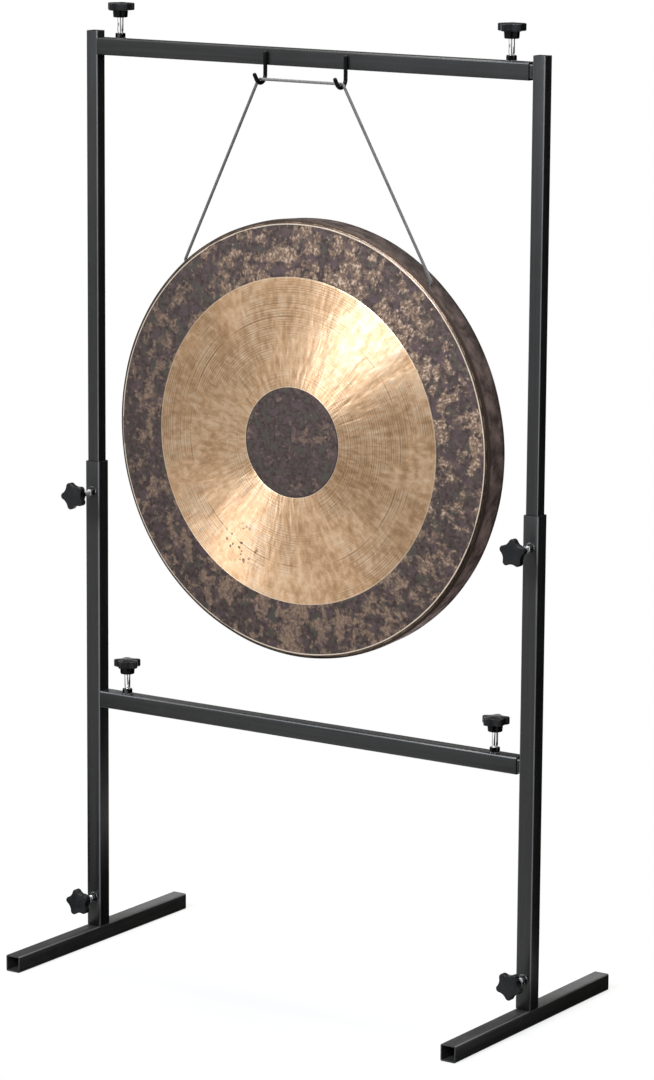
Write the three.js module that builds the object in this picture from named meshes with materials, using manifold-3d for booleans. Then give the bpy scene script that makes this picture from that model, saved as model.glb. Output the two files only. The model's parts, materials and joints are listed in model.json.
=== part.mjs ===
// Adjustable gong stand of square steel tube, with its gong hung from two hooks by a cord.
// Millimetres. Z is up, X runs along the crossbars and the front faces -Y.
// The origin is on the floor, midway between the two feet.

import * as THREE from 'three';
import { mergeVertices } from 'three/addons/utils/BufferGeometryUtils.js';
import Module from 'manifold-3d';

const wasm = await Module();
wasm.setup();

// Square tube. Feet, lower uprights and crossbars are the outer size, and the rest slides in it.
const outerWidth = 25;
const outerWall = 2;
const outerCorner = 2.5;
const slideClearance = 0.5;
const innerWall = 1.5;
const innerCorner = 2;
const boreCorner = 0.5;
const seatGap = 0.3;

// The two legs
const legSpacing = 767;
const footLength = 430;
const footStubRise = 100;
const lowerUprightLength = 722;
const upperUprightLength = 900;
const upperUprightShown = 645;

// The crossbars and the stubs that they slip over
const lowerBarHeight = 370;
const topBarDrop = 10;
const barStubLength = 100;
const barLeftGap = 0.5;
const barRightGap = 5;

// Star knobs, their studs and the nuts welded to the tube
const knobRadius = 20.8;
const knobWaistRadius = 15.6;
const knobTipRadius = 5.2;
const knobHeadHeight = 11.5;
const knobBevel = 1.5;
const hubTopRadius = 12;
const hubEndRadius = 11;
const hubHeight = 10.5;
const studDiameter = 9.4;
const studGrip = 8;
const threadClearance = 0.3;
const nutAcross = 13;
const nutHeight = 8;
const nutChamfer = 0.8;
const barKnobStandOff = 31;
const heightKnobStandOff = 30;
const footKnobStandOff = 22;
const topBarKnobInset = 35;
const lowerBarKnobInset = 43;
const heightKnobDrop = 46;
const footKnobRise = 45;
const starPoints = 5;

// The hooks welded to the front of the top crossbar
const hookWire = 6;
const hookSpacing = 138;
const hookTopInset = 4;
const hookReach = 24.5;
const hookBend = 12;
const hookTipLength = 9;
const hookSweep = THREE.MathUtils.degToRad(145);

// The gong: a shallow domed dish with a rounded shoulder and a rim
const gongDiameter = 644;
const gongWall = 2;
const gongDepth = 47;
const gongShoulder = 8;
const gongDome = 20;
const gongTaper = 2.4;
const gongDrop = 520;
const gongSetback = 1.3;
const gongHoleDiameter = 7;
const gongHoleSetback = 16;
const gongHoleAngle = THREE.MathUtils.degToRad(41);

// The cord that the gong hangs on
const cordDiameter = 4.5;
const cordGap = 0.35;
const cordStandOff = 4;
const cordHoleBend = 5;
const knotDiameter = 11;

// Fineness, and one overrun for every cut
const cornerSteps = 2;
const roundSides = 16;
const wireSides = 10;
const cordSides = 8;
const hexSides = 6;
const bendSteps = 6;
const lobeSteps = 2;
const bevelSteps = 2;
const gongSides = 60;
const domeSteps = 6;
const shoulderSteps = 4;
const overrun = 1;
const weldShare = 1e-6;

// Sizes worked out from the ones above
const innerWidth = outerWidth - 2 * outerWall - 2 * slideClearance;
const footTop = outerWidth;
const lowerUprightBase = footTop + seatGap;
const lowerUprightTop = lowerUprightBase + lowerUprightLength;
const upperUprightTop = lowerUprightTop + upperUprightShown;
const upperUprightBase = upperUprightTop - upperUprightLength;
const lowerBarCentre = lowerBarHeight + outerWidth / 2;
const topBarCentre = upperUprightTop - topBarDrop - outerWidth / 2;
const lowerClearSpan = legSpacing - outerWidth;
const topClearSpan = legSpacing - innerWidth;
const studRadius = studDiameter / 2;
const studHoleRadius = studRadius + threadClearance;
const studTipDepth = outerWall + slideClearance - seatGap;
const hookRadius = hookWire / 2;
const hookShankY = -(outerWidth / 2 + seatGap + hookRadius);
const hookBendY = hookShankY - hookBend;
const hookBendZ = topBarCentre - outerWidth / 2 - hookReach + hookBend;
const cordRadius = cordDiameter / 2;
const cordOverWire = hookRadius + cordRadius + cordGap;
const cordSeatY = hookBendY;
const cordSeatZ = hookBendZ - hookBend + cordOverWire;
const gongRadius = gongDiameter / 2;
const gongCentre = new THREE.Vector3(0, cordSeatY + gongSetback, cordSeatZ - gongDrop);

// Finishes
const powderCoat = new THREE.MeshStandardMaterial({ color: 0x2e2e2f, roughness: 0.5, metalness: 0.2 });
const blackPlastic = new THREE.MeshStandardMaterial({ color: 0x1c1c1d, roughness: 0.55, metalness: 0 });
const zincPlate = new THREE.MeshStandardMaterial({ color: 0xc9cacb, roughness: 0.25, metalness: 1 });
const bronze = new THREE.MeshStandardMaterial({ color: 0x9a7a55, roughness: 0.35, metalness: 0.9 });
const greyCord = new THREE.MeshStandardMaterial({ color: 0x7d7f80, roughness: 0.9, metalness: 0 });

// Closed meshes to solids and back

function solidOf(geometry) {
  const bare = geometry.clone();
  bare.deleteAttribute('normal');
  bare.deleteAttribute('uv');
  bare.computeBoundingSphere();
  const welded = mergeVertices(bare, bare.boundingSphere.radius * weldShare);
  const corners = welded.index.array;
  const kept = [];
  for (let i = 0; i < corners.length; i += 3) {
    const [a, b, c] = corners.slice(i, i + 3);
    if (a !== b && b !== c && c !== a) kept.push(a, b, c);
  }
  return new wasm.Manifold(new wasm.Mesh({
    numProp: 3,
    vertProperties: welded.attributes.position.array,
    triVerts: Uint32Array.from(kept),
  }));
}

function geometryOf(solid) {
  const mesh = solid.getMesh();
  const geometry = new THREE.BufferGeometry();
  geometry.setAttribute('position', new THREE.BufferAttribute(mesh.vertProperties, 3));
  geometry.setIndex(new THREE.BufferAttribute(mesh.triVerts, 1));
  geometry.computeVertexNormals();
  return geometry;
}

function cut(geometry, ...tools) {
  return geometryOf(tools.reduce((solid, tool) => solid.subtract(solidOf(tool)), solidOf(geometry)));
}

function join(geometry, ...others) {
  return geometryOf(others.reduce((solid, other) => solid.add(solidOf(other)), solidOf(geometry)));
}

function common(geometry, other) {
  return geometryOf(solidOf(geometry).intersect(solidOf(other)));
}

// A round bar between two points
function rod(radius, from, to, sides = roundSides) {
  const span = new THREE.Vector3().subVectors(to, from);
  const bar = new THREE.CylinderGeometry(radius, radius, span.length(), sides);
  const turn = new THREE.Quaternion().setFromUnitVectors(new THREE.Vector3(0, 1, 0), span.clone().normalize());
  bar.applyQuaternion(turn);
  const middle = new THREE.Vector3().addVectors(from, to).divideScalar(2);
  bar.translate(middle.x, middle.y, middle.z);
  return bar;
}

function squareOutline(OutlineClass, width, corner) {
  const inset = width / 2 - corner;
  const outline = new OutlineClass();
  const quarter = Math.PI / 2;
  outline.absarc(inset, inset, corner, 0, quarter);
  outline.absarc(-inset, inset, corner, quarter, 2 * quarter);
  outline.absarc(-inset, -inset, corner, 2 * quarter, 3 * quarter);
  outline.absarc(inset, -inset, corner, 3 * quarter, 4 * quarter);
  return outline;
}

// Square tube that stands on its end, centred on the Z axis
function squareTube(width, wall, corner, length) {
  const outline = squareOutline(THREE.Shape, width, corner);
  outline.holes.push(squareOutline(THREE.Path, width - 2 * wall, boreCorner));
  return new THREE.ExtrudeGeometry(outline, {
    depth: length,
    bevelEnabled: false,
    curveSegments: cornerSteps,
  });
}

const outerTube = (length) => squareTube(outerWidth, outerWall, outerCorner, length);
const innerTube = (length) => squareTube(innerWidth, innerWall, innerCorner, length);

// A tube of either size laid along X or Y, starting at zero and running the positive way
const alongX = (tube) => tube.rotateY(Math.PI / 2);
const alongY = (tube) => tube.rotateX(-Math.PI / 2);

// A curve through stations set by hand, so that straight runs are long and bends are fine
class StationCurve extends THREE.Curve {
  constructor(stations) {
    super();
    this.stations = stations;
  }

  getPoint(t, target = new THREE.Vector3()) {
    const place = t * (this.stations.length - 1);
    const before = Math.min(Math.floor(place), this.stations.length - 2);
    return target.lerpVectors(this.stations[before], this.stations[before + 1], place - before);
  }

  getPointAt(u, target) {
    return this.getPoint(u, target);
  }

  getTangentAt(u, target = new THREE.Vector3()) {
    const last = this.stations.length - 1;
    const at = Math.round(u * last);
    const before = this.stations[Math.max(at - 1, 0)];
    const after = this.stations[Math.min(at + 1, last)];
    return target.subVectors(after, before).normalize();
  }
}

// Stations along straight runs between corners, each corner rounded to its own radius
function roundedRoute(corners, radii) {
  const stations = [corners[0]];
  for (let i = 1; i < corners.length - 1; i += 1) {
    const into = new THREE.Vector3().subVectors(corners[i], corners[i - 1]).normalize();
    const away = new THREE.Vector3().subVectors(corners[i + 1], corners[i]).normalize();
    const turn = into.angleTo(away);
    const reach = radii[i] * Math.tan(turn / 2);
    const start = corners[i].clone().addScaledVector(into, -reach);
    const side = away.clone().addScaledVector(into, -away.dot(into)).normalize();
    for (let step = 0; step <= bendSteps; step += 1) {
      const angle = turn * step / bendSteps;
      stations.push(start.clone()
        .addScaledVector(into, radii[i] * Math.sin(angle))
        .addScaledVector(side, radii[i] * (1 - Math.cos(angle))));
    }
  }
  stations.push(corners[corners.length - 1]);
  return stations;
}

// A round section swept through the stations
function sweep(stations, radius, sides) {
  const section = new THREE.Shape();
  for (let side = 0; side < sides; side += 1) {
    const angle = 2 * Math.PI * side / sides;
    const point = [radius * Math.cos(angle), radius * Math.sin(angle)];
    if (side === 0) section.moveTo(...point);
    else section.lineTo(...point);
  }
  return new THREE.ExtrudeGeometry(section, {
    steps: stations.length - 1,
    extrudePath: new StationCurve(stations),
    curveSegments: 1,
  });
}

function addPiece(parent, name, geometry, material, x = 0, y = 0, z = 0) {
  const piece = new THREE.Mesh(geometry, material);
  piece.name = name;
  piece.position.set(x, y, z);
  parent.add(piece);
}

function addGroup(parent, x = 0, y = 0, z = 0) {
  const group = new THREE.Group();
  group.position.set(x, y, z);
  parent.add(group);
  return group;
}

// Star knob, stud and welded nut. Local Z runs out of the tube, and zero is on the tube's face.

function starOutline(inset) {
  const lobe = Math.PI / starPoints;
  const tipRadius = knobTipRadius;
  const tipCentre = knobRadius - tipRadius;
  const across = tipCentre * Math.cos(lobe);
  const spread = tipCentre ** 2 + knobWaistRadius ** 2 - 2 * knobWaistRadius * across - tipRadius ** 2;
  const hollowRadius = spread / (2 * (tipRadius - knobWaistRadius + across));
  const hollowCentre = knobWaistRadius + hollowRadius;
  const meet = Math.atan2(hollowCentre * Math.sin(lobe), hollowCentre * Math.cos(lobe) - tipCentre);
  const outline = new THREE.Shape();
  for (let point = 0; point < starPoints; point += 1) {
    const facing = 2 * lobe * point;
    const tipX = tipCentre * Math.cos(facing);
    const tipY = tipCentre * Math.sin(facing);
    outline.absarc(tipX, tipY, tipRadius - inset, facing - meet, facing + meet);
    const between = facing + lobe;
    const inward = between + Math.PI;
    const half = meet - lobe;
    const hollowX = hollowCentre * Math.cos(between);
    const hollowY = hollowCentre * Math.sin(between);
    outline.absarc(hollowX, hollowY, hollowRadius + inset, inward + half, inward - half, true);
  }
  return outline;
}

function knobGeometry(standOff) {
  const head = new THREE.ExtrudeGeometry(starOutline(knobBevel), {
    depth: knobHeadHeight - 2 * knobBevel,
    bevelThickness: knobBevel,
    bevelSize: knobBevel,
    bevelSegments: bevelSteps,
    curveSegments: lobeSteps,
  });
  head.translate(0, 0, standOff + hubHeight + knobBevel);
  const hub = new THREE.CylinderGeometry(hubTopRadius, hubEndRadius, hubHeight + knobBevel, roundSides);
  hub.rotateX(Math.PI / 2);
  hub.translate(0, 0, standOff + (hubHeight + knobBevel) / 2);
  const socketFloor = new THREE.Vector3(0, 0, standOff + studGrip + seatGap);
  const socketMouth = new THREE.Vector3(0, 0, standOff - overrun);
  return cut(join(head, hub), rod(studHoleRadius, socketMouth, socketFloor));
}

function studGeometry(standOff) {
  const tip = new THREE.Vector3(0, 0, -studTipDepth);
  const end = new THREE.Vector3(0, 0, standOff + studGrip);
  return rod(studRadius, tip, end);
}

function nutGeometry() {
  const cornerRadius = nutAcross / (2 * Math.cos(Math.PI / hexSides));
  const prism = new THREE.CylinderGeometry(cornerRadius, cornerRadius, nutHeight, hexSides);
  prism.rotateX(Math.PI / 2);
  prism.translate(0, 0, nutHeight / 2);
  const crownRadius = nutAcross / 2;
  const barrel = new THREE.LatheGeometry([
    new THREE.Vector2(0, -overrun),
    new THREE.Vector2(cornerRadius + overrun, -overrun),
    new THREE.Vector2(cornerRadius + overrun, nutHeight - nutChamfer),
    new THREE.Vector2(cornerRadius, nutHeight - nutChamfer),
    new THREE.Vector2(crownRadius, nutHeight),
    new THREE.Vector2(0, nutHeight),
  ], roundSides);
  barrel.rotateX(Math.PI / 2);
  const foot = new THREE.Vector3(0, 0, -overrun);
  const crown = new THREE.Vector3(0, 0, nutHeight + overrun);
  return cut(common(prism, barrel), rod(studHoleRadius, foot, crown));
}

function addClamp(parent, name, standOff, turn) {
  addPiece(parent, `${name}_nut`, nutGeometry(), powderCoat);
  addPiece(parent, `${name}_stud`, studGeometry(standOff), zincPlate);
  const knob = addGroup(parent);
  knob.rotation.z = THREE.MathUtils.degToRad(turn);
  addPiece(knob, `${name}_knob`, knobGeometry(standOff), blackPlastic);
}

// How far each knob is turned, in degrees from the local X axis
const clampTurns = {
  top_left: 40,
  top_right: 46,
  lower_left: 57,
  lower_right: 36,
  left_height: 40,
  right_height: 17,
  left_foot: 29,
  right_foot: 57,
};

// A hole for a stud through the wall that faces the given way, at a place on the tube's axis
function studHole(place, facing) {
  const inside = place.clone();
  const outside = place.clone().addScaledVector(facing, outerWidth / 2 + overrun);
  return rod(studHoleRadius, inside, outside);
}

const stand = new THREE.Group();
const forward = new THREE.Vector3(0, -1, 0);
const upward = new THREE.Vector3(0, 0, 1);

// Legs: foot, stub, lower upright, upper upright and the stubs for the crossbars

for (const [side, sign] of [['left', -1], ['right', 1]]) {
  const leg = addGroup(stand, sign * legSpacing / 2);
  const foot = alongY(outerTube(footLength));
  addPiece(leg, `${side}_foot`, foot, powderCoat, 0, -footLength / 2, outerWidth / 2);
  addPiece(leg, `${side}_foot_stub`, innerTube(footStubRise), powderCoat, 0, 0, footTop);

  const footKnobZ = footTop + footKnobRise;
  const heightKnobZ = lowerUprightTop - heightKnobDrop;
  const lowerUpright = cut(
    outerTube(lowerUprightLength),
    studHole(new THREE.Vector3(0, 0, footKnobZ - lowerUprightBase), forward),
    studHole(new THREE.Vector3(0, 0, heightKnobZ - lowerUprightBase), forward),
  );
  addPiece(leg, `${side}_lower_upright`, lowerUpright, powderCoat, 0, 0, lowerUprightBase);
  addPiece(leg, `${side}_upper_upright`, innerTube(upperUprightLength), powderCoat, 0, 0, upperUprightBase);

  const lowerStub = alongX(innerTube(barStubLength));
  const lowerStubX = sign < 0 ? outerWidth / 2 : -outerWidth / 2 - barStubLength;
  addPiece(leg, `${side}_lower_bar_stub`, lowerStub, powderCoat, lowerStubX, 0, lowerBarCentre);
  const topStub = alongX(innerTube(barStubLength));
  const topStubX = sign < 0 ? innerWidth / 2 : -innerWidth / 2 - barStubLength;
  addPiece(leg, `${side}_top_bar_stub`, topStub, powderCoat, topStubX, 0, topBarCentre);

  for (const [name, standOff, z] of [
    [`${side}_foot`, footKnobStandOff, footKnobZ],
    [`${side}_height`, heightKnobStandOff, heightKnobZ],
  ]) {
    const clamp = addGroup(leg, 0, -outerWidth / 2, z);
    clamp.rotation.x = Math.PI / 2;
    addClamp(clamp, name, standOff, clampTurns[name]);
  }
}

// Crossbars with a clamp near each end

for (const [name, clearSpan, z, inset] of [
  ['lower', lowerClearSpan, lowerBarCentre, lowerBarKnobInset],
  ['top', topClearSpan, topBarCentre, topBarKnobInset],
]) {
  const length = clearSpan - barLeftGap - barRightGap;
  const bar = addGroup(stand, -clearSpan / 2 + barLeftGap, 0, z);
  const places = [[`${name}_left`, inset], [`${name}_right`, length - inset]];
  const holes = places.map(([, x]) => studHole(new THREE.Vector3(x, 0, 0), upward));
  addPiece(bar, `${name}_crossbar`, cut(alongX(outerTube(length)), ...holes), powderCoat);
  for (const [clampName, x] of places) {
    addClamp(addGroup(bar, x, 0, outerWidth / 2), clampName, barKnobStandOff, clampTurns[clampName]);
  }
}

// Hooks: a straight shank down the bar's front, a bend and a short tip, with rounded ends

function hookGeometry() {
  const topZ = topBarCentre + outerWidth / 2 - hookTopInset - hookRadius;
  const stations = [new THREE.Vector3(0, hookShankY, topZ)];
  const bendStations = 2 * bendSteps;
  for (let step = 0; step <= bendStations; step += 1) {
    const angle = hookSweep * step / bendStations;
    const y = hookBendY + hookBend * Math.cos(angle);
    stations.push(new THREE.Vector3(0, y, hookBendZ - hookBend * Math.sin(angle)));
  }
  const bendEnd = stations[stations.length - 1];
  const rise = new THREE.Vector3(0, -Math.sin(hookSweep), -Math.cos(hookSweep));
  stations.push(bendEnd.clone().addScaledVector(rise, hookTipLength));
  const ends = [stations[0], stations[stations.length - 1]].map((end) => {
    const cap = new THREE.SphereGeometry(hookRadius, wireSides, wireSides / 2);
    return cap.translate(end.x, end.y, end.z);
  });
  return join(sweep(stations, hookRadius, wireSides), ...ends);
}

addPiece(stand, 'left_hook', hookGeometry(), powderCoat, -hookSpacing / 2);
addPiece(stand, 'right_hook', hookGeometry(), powderCoat, hookSpacing / 2);

// Gong, turned about Y: face edge at zero, dome to the front and rim to the back

const holePlace = (sign, radius) => new THREE.Vector3(
  sign * radius * Math.sin(gongHoleAngle),
  gongHoleSetback,
  radius * Math.cos(gongHoleAngle),
);

function gongSkin(inset) {
  const shoulder = gongShoulder - inset;
  const faceRadius = gongRadius - gongShoulder;
  const skin = [];
  for (let step = 0; step < domeSteps; step += 1) {
    const share = step / domeSteps;
    skin.push(new THREE.Vector2(faceRadius * share, inset - gongDome * (1 - share ** 2)));
  }
  for (let step = 0; step <= shoulderSteps; step += 1) {
    const angle = Math.PI / 2 * step / shoulderSteps;
    const x = faceRadius + shoulder * Math.sin(angle);
    skin.push(new THREE.Vector2(x, gongShoulder - shoulder * Math.cos(angle)));
  }
  skin.push(new THREE.Vector2(gongRadius - inset - gongTaper, gongDepth));
  return skin;
}

const gongProfile = [...gongSkin(0), ...gongSkin(gongWall).reverse()];
const gongHoles = [-1, 1].map((sign) => rod(
  gongHoleDiameter / 2,
  holePlace(sign, gongRadius - gongShoulder - overrun),
  holePlace(sign, gongRadius + overrun),
));
const gongShape = cut(new THREE.LatheGeometry(gongProfile, gongSides), ...gongHoles);
const gong = addGroup(stand, gongCentre.x, gongCentre.y, gongCentre.z);
addPiece(gong, 'gong', gongShape, bronze);

// Cord: from one knot out through the rim, over both hooks and back through the rim to the other knot.
// Each knot rests in the mouth of its hole.

const knotRadius = knotDiameter / 2;
const knotDepth = Math.sqrt((knotRadius + seatGap) ** 2 - (gongHoleDiameter / 2) ** 2);
const rimInside = gongRadius - gongTaper * gongHoleSetback / gongDepth - gongWall;
const knotPlace = (sign) => holePlace(sign, rimInside - knotDepth);
const cordEnd = (sign) => holePlace(sign, rimInside - knotDepth + knotRadius + seatGap).add(gongCentre);
const holeCorner = (sign) => holePlace(sign, gongRadius + cordStandOff).add(gongCentre);
const sideRun = new THREE.Vector3().subVectors(
  holeCorner(1),
  new THREE.Vector3(hookSpacing / 2, cordSeatY, cordSeatZ),
);
const bendAtHook = sideRun.angleTo(new THREE.Vector3(1, 0, 0));
const hookCornerX = hookSpacing / 2 + cordOverWire * Math.tan(bendAtHook / 2);
const cordCorners = [
  cordEnd(-1),
  holeCorner(-1),
  new THREE.Vector3(-hookCornerX, cordSeatY, cordSeatZ),
  new THREE.Vector3(hookCornerX, cordSeatY, cordSeatZ),
  holeCorner(1),
  cordEnd(1),
];
const cordRadii = [0, cordHoleBend, cordOverWire, cordOverWire, cordHoleBend, 0];
const cordStations = roundedRoute(cordCorners, cordRadii);
addPiece(stand, 'gong_cord', sweep(cordStations, cordRadius, cordSides), greyCord);

for (const [side, sign] of [['left', -1], ['right', 1]]) {
  const place = knotPlace(sign);
  const outward = new THREE.Vector3(place.x, 0, place.z).normalize();
  const knot = new THREE.SphereGeometry(knotRadius, roundSides, cordSides);
  knot.applyQuaternion(new THREE.Quaternion().setFromUnitVectors(new THREE.Vector3(0, 1, 0), outward));
  addPiece(gong, `${side}_cord_knot`, knot, greyCord, place.x, place.y, place.z);
}

export default stand;
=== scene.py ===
import json
import math
import random
from types import SimpleNamespace

import bmesh
import bpy
from mathutils import Matrix, Vector


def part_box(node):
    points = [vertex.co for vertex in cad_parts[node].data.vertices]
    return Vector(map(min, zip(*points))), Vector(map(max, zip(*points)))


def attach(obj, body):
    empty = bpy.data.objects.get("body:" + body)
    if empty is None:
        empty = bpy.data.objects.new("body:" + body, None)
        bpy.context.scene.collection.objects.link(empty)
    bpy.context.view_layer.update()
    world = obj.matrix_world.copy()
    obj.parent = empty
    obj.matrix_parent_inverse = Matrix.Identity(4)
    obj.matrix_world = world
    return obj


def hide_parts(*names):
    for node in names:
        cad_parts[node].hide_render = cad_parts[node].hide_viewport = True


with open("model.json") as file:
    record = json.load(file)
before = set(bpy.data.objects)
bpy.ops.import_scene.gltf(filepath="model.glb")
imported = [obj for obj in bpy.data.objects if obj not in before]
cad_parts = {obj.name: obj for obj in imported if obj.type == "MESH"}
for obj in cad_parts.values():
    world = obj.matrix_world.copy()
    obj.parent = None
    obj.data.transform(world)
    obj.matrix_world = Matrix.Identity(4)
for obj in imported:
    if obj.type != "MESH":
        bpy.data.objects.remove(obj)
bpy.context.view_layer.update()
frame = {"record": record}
bodyOf = {node: body for body, nodes in frame["record"]["behaviour"]["bodies"].items() for node in nodes}

# Everything is in metres. X runs along the crossbars, Z is up and the front faces -Y.


# Small helpers for working in object and edit mode

def clearSelection():
    if bpy.context.mode != "OBJECT":
        bpy.ops.object.mode_set(mode="OBJECT")
    bpy.ops.object.select_all(action="DESELECT")


def pickPiece(piece):
    clearSelection()
    piece.select_set(True)
    bpy.context.view_layer.objects.active = piece


def editPiece(piece, mode="FACE"):
    pickPiece(piece)
    bpy.ops.object.mode_set(mode="EDIT")
    bpy.ops.mesh.select_mode(type=mode)
    bpy.ops.mesh.select_all(action="DESELECT")


# Stays in edit mode, with only the edges or faces that pass the test selected
def selectWhere(piece, kind, test):
    editPiece(piece, {"edges": "EDGE", "faces": "FACE"}[kind])
    mesh = bmesh.from_edit_mesh(piece.data)
    for part in getattr(mesh, kind):
        if test(part):
            part.select_set(True)
    mesh.select_flush_mode()
    bmesh.update_edit_mesh(piece.data)


def bevelWhere(piece, kind, test, **settings):
    selectWhere(piece, kind, test)
    bpy.ops.mesh.bevel(**settings)
    bpy.ops.object.mode_set(mode="OBJECT")


def applyModifier(piece, kind, **settings):
    pickPiece(piece)
    modifier = piece.modifiers.new(kind.lower(), kind)
    for key, value in settings.items():
        setattr(modifier, key, value)
    bpy.ops.object.modifier_apply(modifier=modifier.name)


# Cuts one piece with another, or joins them, and uses up the second
def combine(piece, tool, operation="DIFFERENCE"):
    applyModifier(piece, "BOOLEAN", object=tool, operation=operation, solver="EXACT")
    bpy.data.objects.remove(tool)


def placeInMesh(piece):
    pickPiece(piece)
    bpy.ops.object.transform_apply(location=True, rotation=True, scale=True)
    return piece


def addShape(addPrimitive, **settings):
    clearSelection()
    addPrimitive(**settings)
    return bpy.context.active_object


def addCylinder(vertices, radius, depth, location=(0, 0, 0), rotation=(0, 0, 0)):
    return addShape(
        bpy.ops.mesh.primitive_cylinder_add, vertices=vertices, radius=radius, depth=depth,
        location=location, rotation=rotation,
    )


def addObject(name, data):
    piece = bpy.data.objects.new(name, data)
    bpy.context.scene.collection.objects.link(piece)
    return piece


def joinPieces(pieces):
    clearSelection()
    for piece in pieces:
        piece.select_set(True)
    bpy.context.view_layer.objects.active = pieces[0]
    bpy.ops.object.join()
    return pieces[0]


def faceOutwards(piece):
    editPiece(piece)
    bpy.ops.mesh.select_all(action="SELECT")
    bpy.ops.mesh.normals_make_consistent(inside=False)
    bpy.ops.object.mode_set(mode="OBJECT")


# Names a finished piece, gives it its material and says which body it rides on and the CAD node that it
# replaces
def finishPiece(piece, name, node, material, smoothAngle):
    placeInMesh(piece)
    piece.name = name
    piece.data.name = name
    if material:
        piece.data.materials.clear()
        piece.data.materials.append(material)
    bpy.ops.object.shade_smooth_by_angle(angle=math.radians(smoothAngle))
    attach(piece, bodyOf[node])
    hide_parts(node)
    return piece


# Camera, from the photograph's viewing angle

cameraSetup = {
    "place": (3.3988, -5.0978, 1.8478),
    "azimuth": 33.438,
    "elevation": 10.896,
    "roll": 0.408,
    "lens": 142.37,
    "clipEnd": 50,
}


def makeCamera():
    data = bpy.data.cameras.new("camera")
    data.lens = cameraSetup["lens"]
    data.clip_end = cameraSetup["clipEnd"]
    camera = addObject("camera", data)
    around, above, roll = (math.radians(cameraSetup[key]) for key in ("azimuth", "elevation", "roll"))
    back = Vector((math.sin(around) * math.cos(above), -math.cos(around) * math.cos(above), math.sin(above)))
    right = Vector((math.cos(around), math.sin(around), 0))
    up = back.cross(right)
    tiltedRight = right * math.cos(roll) + up * math.sin(roll)
    tiltedUp = up * math.cos(roll) - right * math.sin(roll)
    turn = Matrix((tiltedRight, tiltedUp, back)).transposed().to_4x4()
    camera.matrix_world = Matrix.Translation(cameraSetup["place"]) @ turn
    bpy.context.scene.camera = camera


makeCamera()
print("camera placed")


# Materials. Every pattern reads Object coordinates, which are the frame's own.

# A node's output, which adds, subtracts, multiplies and divides by way of Math nodes
class Signal:
    def __init__(self, node, key=0):
        self.socket = node.outputs[key]
        self.tree = node.id_data

    def __add__(self, other):
        return maths("ADD", self, other)

    def __sub__(self, other):
        return maths("SUBTRACT", self, other)

    def __rsub__(self, other):
        return maths("SUBTRACT", other, self)

    def __mul__(self, other):
        return maths("MULTIPLY", self, other)

    def __truediv__(self, other):
        return maths("DIVIDE", self, other)


# Links each signal to its socket, and sets every other value on it
def feed(node, inputs):
    for key, value in inputs.items():
        socket = node.inputs[key]
        if isinstance(value, Signal):
            value.tree.links.new(value.socket, socket)
        else:
            socket.default_value = (*value, 1.0) if socket.type == "RGBA" else value


def addNode(tree, kind, inputs=None, **settings):
    node = tree.nodes.new(kind)
    for key, value in settings.items():
        setattr(node, key, value)
    feed(node, inputs or {})
    return node


def maths(operation, first, second=0.0):
    tree = first.tree if isinstance(first, Signal) else second.tree
    return Signal(addNode(tree, "ShaderNodeMath", {0: first, 1: second}, operation=operation))


def largest(first, *others):
    for other in others:
        first = maths("MAXIMUM", first, other)
    return first


def mapRange(value, low, high, toLow=0.0, toHigh=1.0, kind="LINEAR"):
    inputs = dict(enumerate((value, low, high, toLow, toHigh)))
    return Signal(addNode(value.tree, "ShaderNodeMapRange", inputs, interpolation_type=kind))


def mixColours(share, first, second):
    inputs = {0: share, 6: first, 7: second}
    return Signal(addNode(share.tree, "ShaderNodeMix", inputs, data_type="RGBA", clamp_factor=True), 2)


# Lays each colour over the ones before it, by its own share
def layered(colour, *layers):
    for share, over in layers:
        colour = mixColours(share, colour, over)
    return colour


def scaled(colour, factor):
    inputs = {0: colour, "Scale": factor}
    return Signal(addNode(colour.tree, "ShaderNodeVectorMath", inputs, operation="SCALE"))


def remapped(vector, **inputs):
    return Signal(addNode(vector.tree, "ShaderNodeMapping", {"Vector": vector, **inputs}))


def noiseAt(vector, scale, detail=3.0, roughness=0.5, distortion=0.0):
    inputs = {
        "Vector": vector, "Scale": scale, "Detail": detail, "Roughness": roughness, "Distortion": distortion,
    }
    return Signal(addNode(vector.tree, "ShaderNodeTexNoise", inputs), "Fac")


# One noise for each name, from its scale, detail, roughness and distortion
def noisesAt(vector, recipes):
    return SimpleNamespace(**{name: noiseAt(vector, *recipe) for name, recipe in recipes.items()})


# The sum of the named noises, each times its share
def weighted(noises, shares):
    parts = [getattr(noises, name) * share for name, share in shares.items()]
    total = parts[0]
    for part in parts[1:]:
        total += part
    return total


def bump(height, strength, distance, **below):
    inputs = {"Height": height, "Strength": strength, "Distance": distance, **below}
    return Signal(addNode(height.tree, "ShaderNodeBump", inputs), "Normal")


def objectPlace(tree):
    return Signal(addNode(tree, "ShaderNodeTexCoord"), "Object")


def attribute(tree, name):
    return Signal(addNode(tree, "ShaderNodeAttribute", attribute_name=name), "Fac")


def grey(value):
    return (value, value, value)


# Empties the node tree of a material or of the world, and gives it an output
def emptyTree(owner, outputKind):
    owner.use_nodes = True
    tree = owner.node_tree
    tree.nodes.clear()
    return tree, tree.nodes.new(outputKind)


def startMaterial(name):
    material = bpy.data.materials.new(name)
    tree, output = emptyTree(material, "ShaderNodeOutputMaterial")
    shader = addNode(tree, "ShaderNodeBsdfPrincipled")
    feed(output, {"Surface": Signal(shader, "BSDF")})
    return material, tree, shader


# In the looks, a span is where a noise or a distance starts and stops to count, and what it gives there.
# Noises are given by scale, detail, roughness and distortion, and reliefs by strength and height.

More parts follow.
